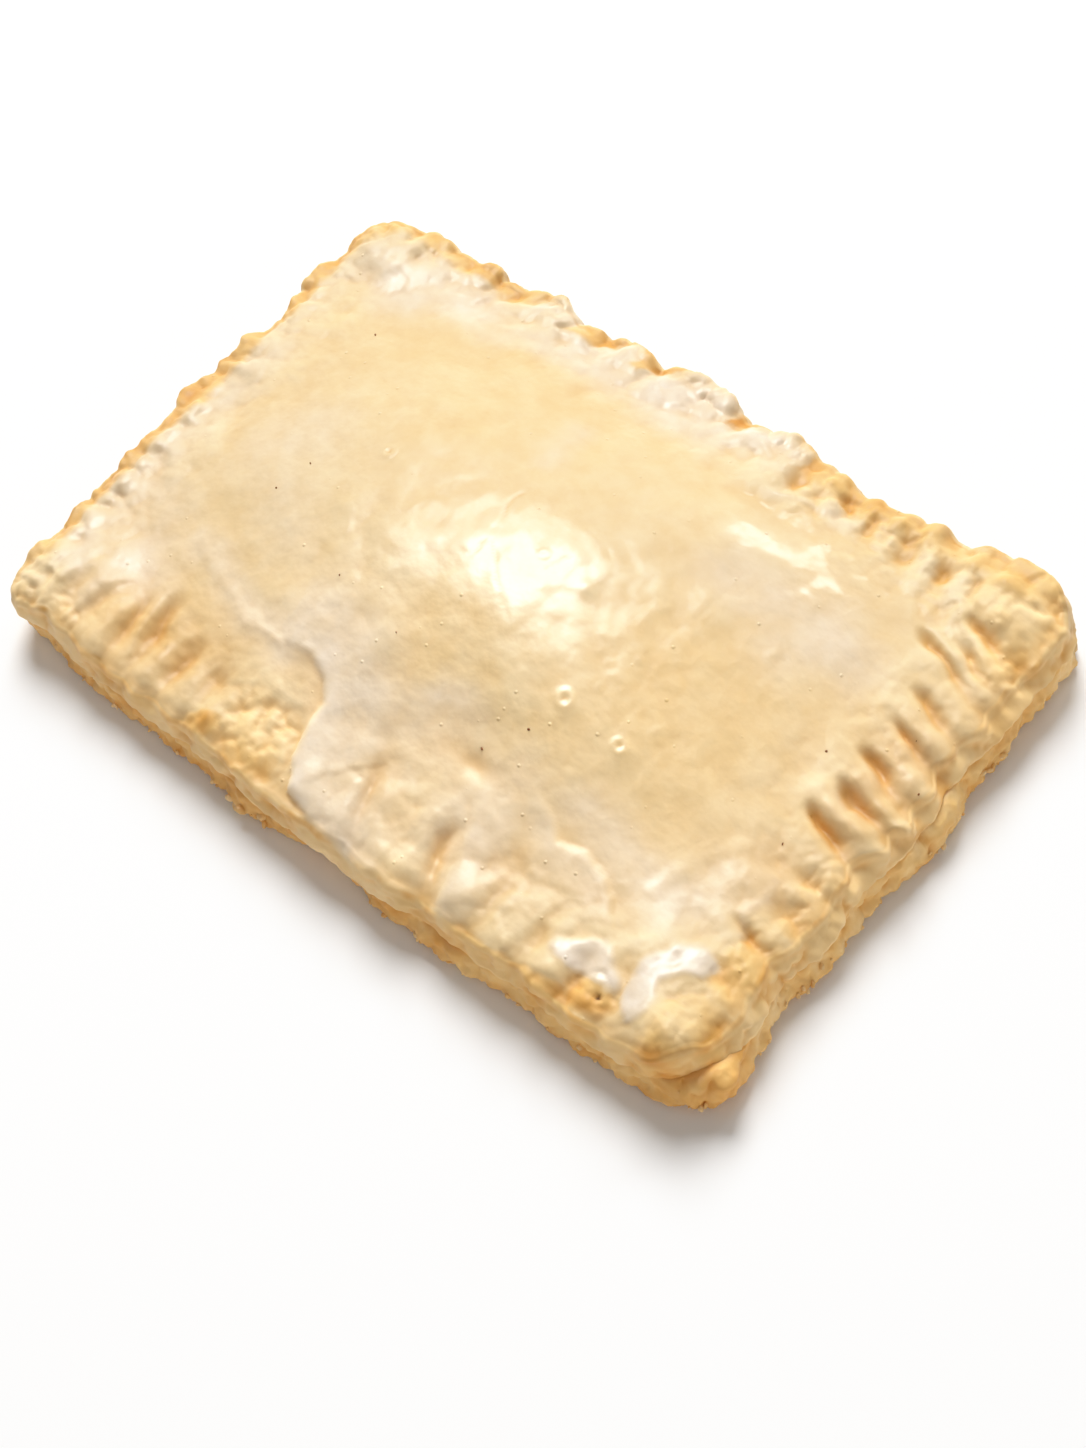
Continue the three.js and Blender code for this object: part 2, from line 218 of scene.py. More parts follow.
# Spots that have browned more than the rest, or less: x, y, radius, how much.
BROWNED = [
    (56, 38, 8, -0.08), (59.5, -41, 3.2, 0.15), (40, -42, 6, 0.2),
    (55, -42.5, 3, 0.12), (62.5, -34, 2.6, 0.15), (58, -43, 4, 0.25), (28, -42.5, 5, 0.25),
    (-22.5, -39.8, 1.8, 0.45), (-14, -39, 4, 0.1), (-58, -39, 6, -0.1), (46, 38, 7, -0.12),
    (20, 37.5, 2.5, 0.15), (6.5, 41.5, 2, 0.2), (-19, 41, 2.5, 0.1), (46.5, -40.5, 3, 0.3),
    (57.5, -25.5, 3, 0.3), (61, 33, 2.5, 0.1), (49, 42, 2, 0.15), (62.8, -36, 1.8, 0.4),
]
FOOT_BROWNED = (67, -40, 7, 0.3)

# Where the dark specks in the glaze are, and the half sizes of one.
SPECK_SIZE = (0.22, 0.17, 0.1)
SPECKS = [
    (-18, -14), (-37.1, -7.8), (-35.3, -2.3), (-5.5, -16.5), (18.2, -16.6), (14, -22.1),
    (21.3, -29.9), (57.5, 14.3), (62, 8.5), (49.8, 5.6), (52.8, -8.2), (-46, 22),
]

# Where crumbs cling: x, y, half length, half width, lowest and highest, how many, largest half size.
CRUMBS = [
    (-35, -43.5, 26, 3.5, 0.3, 1.8, 25, 0.6), (-12, -44.5, 4, 3.5, 0.3, 2, 14, 1),
    (30, -44, 26, 4, 0.3, 1.8, 25, 0.6), (65, -5, 3, 30, 0.3, 2, 40, 0.65),
    (66, -38, 4.5, 4.5, 0.3, 2, 6, 0.6), (0, 44, 60, 3.5, 0.3, 2, 40, 0.55),
    (-64, 0, 3, 42, 0.3, 2, 30, 0.55),
]
HOLES = [(47.1, -38.6, 0.55, 0.9)]  # burst bubbles down into the dough: radius and depth

# ---------------------------------------------------------------- helpers
def smooth_step(low, high, value):
    """From 0 at `low` to 1 at `high`, with a smooth start and end."""
    share = np.clip((value - low) / (high - low), 0.0, 1.0)
    return share * share * (3 - 2 * share)


def bell(distance):
    """1 at no distance, and soon nothing beyond a distance of 1."""
    return np.exp(-distance * distance)


def hashed(cell, seed):
    """A number from -1 to 1 for each whole-number cell (three columns)."""
    mixed = cell[..., 0] * 374761393 + cell[..., 1] * 668265263 + cell[..., 2] * 974634777
    mixed = (mixed + seed * 1013) & 0xFFFFFFFF
    mixed = ((mixed ^ (mixed >> 13)) * 1274126177) & 0xFFFFFFFF
    mixed = (mixed ^ (mixed >> 16)) & 0xFFFFFFFF
    return mixed / 2147483648.0 - 1.0


def value_noise(points, seed):
    """Smooth noise from -1 to 1 with features one unit wide."""
    cell = np.floor(points).astype(np.int64)
    inside = points - cell
    weight = inside**3 * (inside * (inside * 6 - 15) + 10)
    total = np.zeros(points.shape[:-1])
    for corner in np.ndindex(2, 2, 2):
        corner = np.array(corner)
        share = np.prod(np.where(corner, weight, 1 - weight), axis=-1)
        total += share * hashed(cell + corner, seed)
    return total


def layered_noise(points, size, seed, octaves=3):
    """Noise from about -1 to 1 whose largest features are `size` wide."""
    total, strength, whole = 0.0, 1.0, 0.0
    for octave in range(octaves):
        total = total + strength * value_noise(points / size + 17.3 * octave, seed + octave)
        whole += strength
        strength *= 0.5
        size *= 0.5
    return total / whole * 1.6


def pebbles(points, size, seed):
    """Rounded bumps about `size` wide, from 0 between them to 1 on top."""
    scaled = points / size
    cell = np.floor(scaled).astype(np.int64)
    nearest = np.full(points.shape[:-1], 9.0)
    for step in np.ndindex(3, 3, 3):
        neighbour = cell + np.array(step) - 1
        jitter = np.stack([hashed(neighbour, seed + axis) for axis in range(3)], axis=-1)
        centre = neighbour + 0.5 + 0.42 * jitter
        nearest = np.minimum(nearest, np.sum((scaled - centre) ** 2, axis=-1))
    return np.clip(1 - nearest / 0.75, 0, 1) ** 0.7


def blob(x, y, cx, cy, half_length, half_width, turn, soft):
    """1 inside an ellipse and 0 outside, with a soft border."""
    angle = math.radians(turn)
    along = (x - cx) * math.cos(angle) + (y - cy) * math.sin(angle)
    across = -(x - cx) * math.sin(angle) + (y - cy) * math.cos(angle)
    rho = np.hypot(along / half_length, across / half_width)
    return 1 - smooth_step(1 - soft, 1 + soft, rho)


def chain_depth(x, y, points):
    """How deep each place lies inside a chain of circles joined by straight sides: points are
    x, y and radius. Below 0 outside."""
    deepest = np.full(np.shape(x), -99.0)
    for (ax, ay, ar), (bx, by, br) in zip(points, points[1:]):
        length_sq = (bx - ax) ** 2 + (by - ay) ** 2
        share = np.clip(((x - ax) * (bx - ax) + (y - ay) * (by - ay)) / length_sq, 0, 1)
        gap = np.hypot(x - ax - share * (bx - ax), y - ay - share * (by - ay))
        deepest = np.maximum(deepest, ar + share * (br - ar) - gap)
    return deepest


def border_place(x, y, line):
    """Distance from a line of x, y and thickness, above 0 on its left, and the thickness there."""
    nearest = np.full(np.shape(x), 99.0)
    behind, thickness = np.full(np.shape(x), -99.0), np.zeros(np.shape(x))
    for (ax, ay, at), (bx, by, bt) in zip(line, line[1:]):
        along_x, along_y = bx - ax, by - ay
        length_sq = along_x**2 + along_y**2
        share = np.clip(((x - ax) * along_x + (y - ay) * along_y) / length_sq, 0, 1)
        gap_x, gap_y = x - ax - share * along_x, y - ay - share * along_y
        gap = np.hypot(gap_x, gap_y)
        closer = gap < nearest
        nearest = np.where(closer, gap, nearest)
        side = np.sign(along_x * gap_y - along_y * gap_x)
        behind = np.where(closer, side * gap, behind)
        thickness = np.where(closer, at + share * (bt - at), thickness)
    return behind, thickness


def unevenness(x, y):
    """Slow unevenness of hand-rolled dough, as in the solids."""
    long = np.sin(0.19 * x + 1.3 * np.sin(0.11 * y + 0.7))
    cross = np.sin(0.23 * y - 0.13 * x + 2.1)
    short = np.sin(0.61 * x + 0.37 * y + 1.1 * np.sin(0.29 * x))
    return 0.45 * long + 0.3 * cross + 0.25 * short


def spots_total(spots, x, y):
    """The sum of soft round spots: x, y, radius and how much each adds in its middle."""
    total = 0.0
    for cx, cy, radius, amount in spots:
        total = total + amount * bell(np.hypot(x - cx, y - cy) / radius)
    return total


def flat(x, y):
    """Points on the plan, for the noise."""
    return np.stack([x, y, np.zeros(np.shape(x))], axis=-1)


def blurred(field, reach):
    """A grid field evened out over `reach` millimetres."""
    farthest = math.ceil(3 * reach / GRID)
    steps = np.arange(-farthest, farthest + 1)
    kernel = bell(steps * GRID / (reach * 1.414))
    kernel /= kernel.sum()
    for axis in (0, 1):
        margin = [(farthest, farthest) if a == axis else (0, 0) for a in (0, 1)]
        padded = np.pad(field, margin, "edge")
        size = field.shape[axis]
        field = sum(
            weight * np.take(padded, range(step, step + size), axis=axis)
            for step, weight in enumerate(kernel)
        )
    return field


# ---------------------------------------------------------------- shape of the upper face
def side_places(x, y):
    """For each side: place along it, and distance inward from the edge."""
    return {
        "near": (x, y - NEAR), "far": (x, FAR - y), "left": (y, x - LEFT), "right": (y, RIGHT - x),
    }


def edge_distance(x, y):
    """Distance inward from the nearest side."""
    return np.minimum.reduce([inward for _, inward in side_places(x, y).values()])


def fork_depth(x, y):
    """Depth of the fork marks: steep at their inner end, wider and shallower where they run out
    over the edge, with the dough swollen up between them."""
    depth = np.zeros(np.shape(x))
    places = side_places(x, y)
    wander = 0.8 * layered_noise(flat(x, y), 6.0, 71)
    for side, (onset_length, lost, width, marks) in FORK_MARKS.items():
        along, inward = places[side]
        for number, (place, deep, lean, inner_end) in enumerate(marks):
            outward = inner_end - inward + 0.6 * wander
            onset = smooth_step(-0.3 * onset_length, 0.7 * onset_length, outward)
            run_out = 1 - lost * smooth_step(0.35 * inner_end, 0.9 * inner_end, outward)
            half_width = width * (0.8 + 0.6 * smooth_step(0, inner_end, outward))
            half_width = half_width * (1 + 0.2 * math.sin(5.3 * number + place))
            across = (along + wander - lean * (inward - 5) - place) / half_width
            ridges = bell(across - 1.8) + bell(across + 1.8)
            depth += deep * onset * (run_out * np.exp(-np.abs(across) ** 2.2) - 0.08 * ridges)
    return depth


def pillow_share(x, y):
    """The pillow's height over the rim, from 0 at its foot to 1 in its middle."""
    cx, cy, half_length, half_width, squareness = PILLOW
    across = np.abs((x - cx) / half_length) ** squareness
    along = np.abs((y - cy) / half_width) ** squareness
    rho = np.minimum(1, (across + along) ** (1 / squareness))
    return (1 - rho**2.2) ** 2


def bare_share(x, y):
    """1 where the dough looks bare, under a mere film of glaze, and 0 where the coat covers it."""
    place = flat(x, y)
    shifted_x = x + 1.5 * layered_noise(place, 5.0, 11)
    shifted_y = y + 1.5 * layered_noise(place, 5.0, 23)
    bare = np.zeros(np.shape(x))
    for patch in BARE:
        bare = np.maximum(bare, blob(shifted_x, shifted_y, *patch, 0.3))
    from_edge = np.minimum(FAR - y, x - LEFT) + 0.6 * (shifted_x - x)
    return np.maximum(bare, 0.9 * beaded_share(x, y) * smooth_step(2.6, 1.2, from_edge))


def fine_lines(x, y):
    """Cracks, wrinkles and burst bubbles in the glaze, as a height."""
    height = np.zeros(np.shape(x))
    place = flat(x, y)
    wander = 0.5 * value_noise(place / 1.6, 77) + 0.5 * value_noise(place / 4.0, 78)
    broken = smooth_step(-0.5, 0.3, value_noise(place / 3.0, 79))
    for (half_width, high), line in LINES:
        depth = chain_depth(x + wander, y - wander, [(px, py, 0.0) for px, py in line])
        height += high * bell(depth / half_width) * (0.4 + 0.6 * broken)
    for cx, cy, radius in VENTS:
        away = np.hypot(x - cx, y - cy) + 0.3 * wander
        height += 0.14 * bell((away - radius) / 0.35) - 0.12 * bell(away / 0.45)
    return height


def beaded_share(x, y):
    """1 on the very edge of the far and left sides, where the rim is a row of rounded beads."""
    from_edge = np.minimum(FAR - y, x - LEFT)
    return smooth_step(5.0, 2.0, from_edge) * smooth_step(66, 58, x) * smooth_step(-36, -30, y)


def craggy_share(x, y):
    """Where the rim is craggy instead of smooth: most along the far side, some on the left."""
    far_side = smooth_step(10.0, 5.0, FAR - y) * smooth_step(-70, -20, x)
    left_side = 0.5 * smooth_step(7.0, 4.0, x - LEFT)
    return np.maximum(0.6 * far_side, left_side)


def dough_face(x, y):
    """Height of the baked dough over any point of the plan."""
    place = flat(x, y)
    inward = edge_distance(x, y)
    rim = smooth_step(17, 8, inward)
    height = RIM_HEIGHT + PILLOW_HEIGHT * pillow_share(x, y)
    for cx, cy, radius_x, radius_y, high in LUMPS:
        height += high * bell(np.hypot((x - cx) / radius_x, (y - cy) / radius_y))
    # The rim falls to a rounded edge, and the fork has pressed its marks into it.
    height -= fork_depth(x, y) + 0.5 * bell(inward / 1.5)
    for side, (_, from_edge) in side_places(x, y).items():
        height -= RIM_FALL[side] * np.clip(1 - from_edge / RIM_WIDTH, 0, 1.2) ** 1.5
    # Waves, which are stronger on the rim than on the pillow, and lumps under the near glaze.
    height += (0.1 + 0.25 * rim) * unevenness(x, y)
    height += (0.08 + 0.3 * rim) * layered_noise(place, 9.0, 5, 2)
    height += (0.05 + 0.13 * rim) * layered_noise(place, 3.4, 8, 3)
    lumpy = 0.12 * blob(x, y, -6, -14, 36, 13, 8, 0.6)
    height += lumpy * (pebbles(place, 4.4, 29) - 0.4)
    # Crags and beads of the edge, and the grain of the dough.
    height += craggy_share(x, y) * (0.8 * pebbles(place, 2.6, 35) - 0.35)
    height += beaded_share(x, y) * (1.2 * pebbles(place, *BEADS) - 0.5)
    crumbly = smooth_step(0.1, 0.9, bare_share(x, y)) * smooth_step(24, 12, inward)
    height += (0.16 * rim + 0.3 * crumbly) * (pebbles(place, *COARSE_GRAIN) - 0.5)
    height += (0.12 * rim + 0.22 * crumbly) * (pebbles(place, *FINE_GRAIN) - 0.5)
    for cx, cy, radius, deep in HOLES:
        height -= deep * bell(np.hypot(x - cx, y - cy) / radius) ** 2
    return height


def glaze_runs(x, y):
    """Thickness and whiteness of the thick runs of glaze, and how far a place is inside one."""
    place = flat(x, y)
    wobble = layered_noise(place, 4.0, 43, 4)
    thickness = np.zeros(np.shape(x))
    white = np.zeros(np.shape(x))
    inside = np.zeros(np.shape(x))
    for step_width, reach, strength, line in BORDERS:
        behind, thick = border_place(x + 0.4 * wobble, y, line)
        share = np.clip(behind / step_width, 0, 1)
        fade = bell(np.clip(behind, 0, None) / reach)
        thickness = np.maximum(thickness, thick * share * (2 - share) * fade)
        shown = smooth_step(0.0, 0.3, thick) * fade
        white = np.maximum(white, strength * shown * smooth_step(-0.4, step_width, behind))
        inside = np.maximum(inside, smooth_step(-0.2, 0.5, behind) * shown)
    for border_width, thick, strength, chain in RUNS:
        depth = chain_depth(x, y, chain) + wobble
        share = np.clip(depth / border_width, 0, 1)
        rounded = share * (2 - share)
        thickness = np.maximum(thickness, thick * rounded)
        white = np.maximum(white, strength * smooth_step(-0.3, 1.2 * border_width, depth))
        inside = np.maximum(inside, smooth_step(-0.2, 0.5, depth))
    return thickness, white, inside


def glaze_thickness(x, y):
    """How thick the glaze lies over the dough. Below 0 the dough looks bare."""
    thin = THIN_GLAZE + 0.08 * layered_noise(flat(x, y), 7.0, 41) - 0.8 * bare_share(x, y)
    thick, _, inside = glaze_runs(x, y)
    return np.where(inside > 0, np.maximum(thin, 0.16 * inside) + thick, thin)


def milkiness(x, y):
    """How white the glaze is, from 0 to 1."""
    place = flat(x, y)
    wobble = 1.2 * layered_noise(place, 6.0, 53)
    _, white, _ = glaze_runs(x, y)
    for reach, soft, strength, line in VEILS:
        depth = chain_depth(x + wobble, y - wobble, [(px, py, reach) for px, py in line])
        white = white + (1 - white) * strength * smooth_step(-soft, soft * 0.6, depth)
    return np.clip(white * (1 + 0.2 * layered_noise(place, 4.0, 59)), 0, 1)


# ---------------------------------------------------------------- colour
def srgb(red, green, blue):
    """A screen colour from 0 to 255, as linear red, green and blue."""
    shares = np.array([red, green, blue]) / 255
    return np.where(shares <= 0.04045, shares / 12.92, ((shares + 0.055) / 1.055) ** 2.4)


DOUGH_RAMP = [
    (0.0, srgb(247, 225, 187)), (0.3, srgb(246, 213, 159)), (0.55, srgb(242, 197, 126)),
    (0.8, srgb(230, 169, 88)), (1.0, srgb(205, 132, 57)),
]
CREAM = srgb(244, 219, 176)
GOLD = srgb(239, 202, 141)
MILK = srgb(243, 225, 202)
SPECK = srgb(140, 82, 34)
BRIGHTEST_TINT = 0.98
KEY_DIRECTION, KEY_SHARE = (-0.52, 0.55, 0.65), 0.7  # of the main light, and its part in the whole
# Levels of the tint. The face's is lower than the cut sides', and sides that face the main light keep
# less: painted light and shade that even out how the light falls.
FACE_LEVEL, CUT_LEVEL = 0.87, 1.1  # of the upper sheet's face and its cut side
LOWER_LEVEL, LIT_SHARE = 1.06, 0.68  # of the lower sheet, and what the sides facing the light keep
EVENING_REACH = 2.5  # over which slopes are averaged when painted light and shade even out their light
PAINTED_SHADE_TONE = np.array([0.83, 0.64, 0.37])  # what full painted shade in a crevice leaves of each colour
CREVICE_REACH, CREVICE_DEPTH = 2.2, 0.9  # size of the hollows that get painted shade, and depth of one that gets it in full


def mixed(first, second, share):
    """Two colours mixed, with a share of the second from 0 to 1."""
    share = np.asarray(share)[..., None]
    return first * (1 - share) + second * share


def ramp_colour(toast):
    """The dough's colour for each degree of browning, from 0 to 1."""
    stops = [stop for stop, _ in DOUGH_RAMP]
    channels = [np.interp(toast, stops, [tone[c] for _, tone in DOUGH_RAMP]) for c in range(3)]
    return np.stack(channels, axis=-1)


def painted_light_evening(z):
    """What a grid's tint is multiplied by: painted light on slopes that face away from the key light
    and painted shade on slopes that face it, so that the first aren't much darker than the rest,
    standing in for light that runs through sugar glaze."""
    rise_y, rise_x = np.gradient(blurred(z, EVENING_REACH), GRID)
    facing = (-rise_x * KEY_DIRECTION[0] - rise_y * KEY_DIRECTION[1] + KEY_DIRECTION[2])
    facing = facing / np.sqrt(1 + rise_x**2 + rise_y**2) / KEY_DIRECTION[2]
    light = KEY_SHARE * np.clip(facing, 0.2, 1.0) + 1 - KEY_SHARE
    return FACE_LEVEL / light


def cut_level(points, level):
    """How bright the tint of each point of a cut side is made: painted shade on the far and left
    sides, which face the main light, so that they aren't much brighter than the rest."""
    lit = smooth_step(4.0, 0.0, np.minimum(FAR - points[:, 1], points[:, 0] - LEFT))
    return level * (1 - (1 - LIT_SHARE) * lit)


def pastry_tint(points, cover, white, toast, crevice, brightness):
    """Linear colour of each point, from how far glaze covers it, how white that glaze is, how far the
    dough has browned, the painted shade of its crevice (painted light on a crest), and a level of
    painted light and shade."""
    x, y = points[:, 0], points[:, 1]
    golden = 0.42 + 0.2 * layered_noise(points, 12.0, 141, 4) + 0.25 * (toast - 0.3)
    golden = np.clip(golden + spots_total(GOLDEN, x, y), 0, 1)
    glaze_tint = mixed(mixed(CREAM, GOLD, golden), MILK, white)
    tint = mixed(ramp_colour(toast), glaze_tint, cover) * brightness[:, None]
    # Darker spots: partly deeper colour, partly painted shade.
    deeper_and_shaded = np.zeros(x.shape)
    for cx, cy, radius_x, radius_y, amount in DEEPER_AND_SHADED:
        deeper_and_shaded = np.maximum(deeper_and_shaded, amount * bell(np.hypot((x - cx) / radius_x, (y - cy) / radius_y)))
    tint = tint * (1 - deeper_and_shaded[..., None] * (1 - PAINTED_SHADE_TONE))
    for cx, cy, radius, _ in HOLES:
        tint = mixed(tint, SPECK * 0.5, bell(np.hypot(x - cx, y - cy) / radius) ** 2)
    # Painted shade in hollows and painted light on crests, with less of both under white glaze.
    hollow = np.clip(crevice, -0.15, 1) * (1 - 0.6 * white * cover)
    tint = tint * (1 - hollow[..., None] * (1 - PAINTED_SHADE_TONE))
    return tint / np.maximum(1, tint.max(axis=-1, keepdims=True) / BRIGHTEST_TINT)


def toast_of_upper(points):
    """How far each point of the upper sheet has browned, from 0 to 1."""
    x, y, z = points.T
    inward = edge_distance(x, y)
    toast = 0.3 + 0.13 * layered_noise(points, 6.0, 121) + 0.12 * bell(inward / 4.0)
    toast += spots_total(BROWNED, x, y)
    toast += 0.22 * beaded_share(x, y) * pebbles(flat(x, y), *BEADS)
    cut_side = smooth_step(0.6, 2.2, RIM_HEIGHT - z) * smooth_step(1.2, 0.0, inward)
    return np.clip(toast * (1 - 0.5 * cut_side) + 0.2 * cut_side, 0, 1)


def toast_of_lower(points):
    """The same for the lower sheet."""
    x, y, z = points.T
    toast = 0.64 + 0.18 * layered_noise(points, 4.0, 131) + 0.1 * smooth_step(2.0, 0.0, z)
    toast = toast - 0.1 * bell((x - 66) / 5) + spots_total([FOOT_BROWNED], x, y)
    return np.clip(toast, 0, 1)


# ---------------------------------------------------------------- meshes
def plan_grid():
    """Plan positions of the upper face's grid: a rectangle with rounded corners and swollen
    edges. Its border is the start of the rounded top edge."""
    columns = round((RIGHT - LEFT) / GRID)
    rows = round((FAR - NEAR) / GRID)
    x, y = np.meshgrid(np.linspace(LEFT, RIGHT, columns + 1), np.linspace(NEAR, FAR, rows + 1))
    # In each corner square of size CORNER the grid is drawn on to a quarter circle.
    inward = 1 - 1 / math.sqrt(2)
    middle_x, middle_y = (LEFT + RIGHT) / 2, (NEAR + FAR) / 2
    from_x = np.abs(x - middle_x) - ((RIGHT - LEFT) / 2 - CORNER)
    from_y = np.abs(y - middle_y) - ((FAR - NEAR) / 2 - CORNER)
    a, b = np.clip(from_x / CORNER, 0, 1), np.clip(from_y / CORNER, 0, 1)
    x = x - np.sign(x - middle_x) * CORNER * a * inward * b**2
    y = y - np.sign(y - middle_y) * CORNER * b * inward * a**2
    shift_x, shift_y = np.zeros(x.shape), np.zeros(x.shape)
    for side, (_, inward_by) in side_places(x, y).items():
        direction = SIDES[side]
        edge_x = {"left": LEFT, "right": RIGHT}.get(side, x)
        edge_y = {"near": NEAR, "far": FAR}.get(side, y)
        edge_x, edge_y = np.broadcast_arrays(edge_x, edge_y)
        place = flat(edge_x, edge_y)
        out = spots_total(TOP_LOBES, edge_x, edge_y) + 0.4 * unevenness(1.7 * edge_x, 1.7 * edge_y)
        out += 0.3 * layered_noise(place, 3.2, 83)
        out += beaded_share(edge_x, edge_y) * (pebbles(place, *BEADS) - 0.4)
        marks = fork_depth(edge_x - 3.0 * direction[0], edge_y - 3.0 * direction[1])
        out -= GROOVE_CUT[side] * np.clip(marks, -0.5, 3)
        fade = np.clip(1 - inward_by / 7.0, 0, 1) ** 1.3
        shift_x += direction[0] * out * fade
        shift_y += direction[1] * out * fade
    return x + shift_x, y + shift_y


def border(rows, columns):
    """Indices of a grid's border points, counter-clockwise from above."""
    index = np.arange(rows * columns).reshape(rows, columns)
    return np.concatenate([index[0, :-1], index[:-1, -1], index[-1, :0:-1], index[:0:-1, 0]])


def grid_faces(rows, columns):
    index = np.arange(rows * columns).reshape(rows, columns)
    corners = [index[:-1, :-1], index[:-1, 1:], index[1:, 1:], index[1:, :-1]]
    return np.stack(corners, axis=-1).reshape(-1, 4)


def strip_faces(upper, lower):
    """Quads between two rings of point indices, both counter-clockwise from above, facing out."""
    return np.stack([lower, np.roll(lower, -1), np.roll(upper, -1), upper], axis=-1)


def loop_normals(loop, reach=8):
    """Outward normals of a closed plan loop, evened out over `reach` points to each side."""
    tangent = np.roll(loop, -1, axis=0) - np.roll(loop, 1, axis=0)
    total = sum(np.roll(tangent, step, axis=0) for step in range(-reach, reach + 1))
    normal = np.stack([total[:, 1], -total[:, 0]], axis=-1)
    return normal / np.linalg.norm(normal, axis=1, keepdims=True)


def per_side(values, normals):
    """A value for each point of a loop, blended from one value a side by the way it faces."""
    total = np.zeros(len(normals))
    for side, direction in SIDES.items():
        total += values[side] * np.clip(normals @ np.array(direction), 0, 1) ** 2
    return total


def moved_out(loop, normals, out, height):
    """Points over a plan loop, moved out along its normals."""
    return np.column_stack([loop + normals * np.reshape(out, (-1, 1)), height])


class Shell:
    """Points and faces of a closed body, gathered ring by ring, with the painted shade of each point
    (below 0, painted light).
    """

    def __init__(self):
        self.points, self.hollows, self.faces, self.count = [], [], [], 0

    def add(self, points, hollow=0.0):
        start = self.count
        self.points.append(points)
        self.hollows.append(np.broadcast_to(hollow, len(points)))
        self.count += len(points)
        return np.arange(start, self.count)

    def join(self, faces):
        self.faces.extend(faces.tolist())

    def all_points(self):
        return np.concatenate(self.points)


def close_shell(shell, ring, heights, facing_down=True):
    """Closes a body with rings that run in to its middle, at a height given for each inset."""
    loop = shell.all_points()[ring][:, :2]
    middle = loop.mean(axis=0)
    previous = ring
    for inset, height in heights:
        inner = loop + (middle - loop) * inset
        current = shell.add(np.column_stack([inner, np.full(len(inner), height)]))
        upper, lower = (previous, current) if facing_down else (current, previous)
        shell.join(strip_faces(upper, lower))
        previous = current
    centre = shell.add(np.array([[*middle, heights[-1][1]]]))[0]
    first, second = np.roll(previous, -1), previous
    if not facing_down:
        first, second = second, first
    shell.join(np.stack([first, second, np.full(len(previous), centre)], axis=-1))


def smoothed_loop(loop, reach):
    """A closed plan loop, evened out over `reach` points to each side."""
    for _ in range(2):
        loop = sum(np.roll(loop, step, axis=0) for step in range(-reach, reach + 1))
        loop = loop / (2 * reach + 1)
    return loop


def upper_wall(shell, top_ring, top_points, low_loop, normals, seam):
    """The cut side of the upper sheet, from its rounded, wavy top edge down to the smoother
    line of the seam."""
    seam_out = per_side(SEAM_OUT, normals)
    drop = top_points[:, 2] - seam
    previous = top_ring
    for number in range(1, UPPER_RINGS + 1):
        share = number / UPPER_RINGS
        angle = min(1.0, share / EDGE_SHARE) * math.pi / 2
        down_share = max(0.0, (share - EDGE_SHARE) / (1 - EDGE_SHARE))
        out = EDGE_RADIUS * math.sin(angle) + seam_out * down_share
        down = EDGE_RADIUS * (1 - math.cos(angle)) + (drop - EDGE_RADIUS) * down_share
        z = top_points[:, 2] - down
        loop = top_points[:, :2] + (low_loop - top_points[:, :2]) * smooth_step(0.15, 0.9, share)
        place = moved_out(loop, normals, out, z)
        flake = 0.35 * layered_noise(place * np.array([1, 1, 2.0]), 4.0, 101)
        fine = 0.16 * layered_noise(place * np.array([1, 1, 0.6]), 1.6, 103, 2)
        strata = 0.12 * layered_noise(place * np.array([0.25, 0.25, 1.6]), 1.6, 107, 2)
        torn = 0.3 + 0.5 * smooth_step(58, 62, loop[:, 0]) * smooth_step(4, -8, loop[:, 1])
        fine = fine + strata + torn * (pebbles(place, 1.8, 109) - 0.5) * smooth_step(0.2, 0.6, share)
        out += (flake + fine) * smooth_step(0.1, 0.5, share)
        if number == UPPER_RINGS:
            out -= SEAM_TUCK
        # The relief's dips get painted shade, and its bumps painted light.
        ring = shell.add(moved_out(loop, normals, out, z), -(flake + fine) / CUT_RELIEF)
        shell.join(strip_faces(previous, ring))
        previous = ring
    return previous


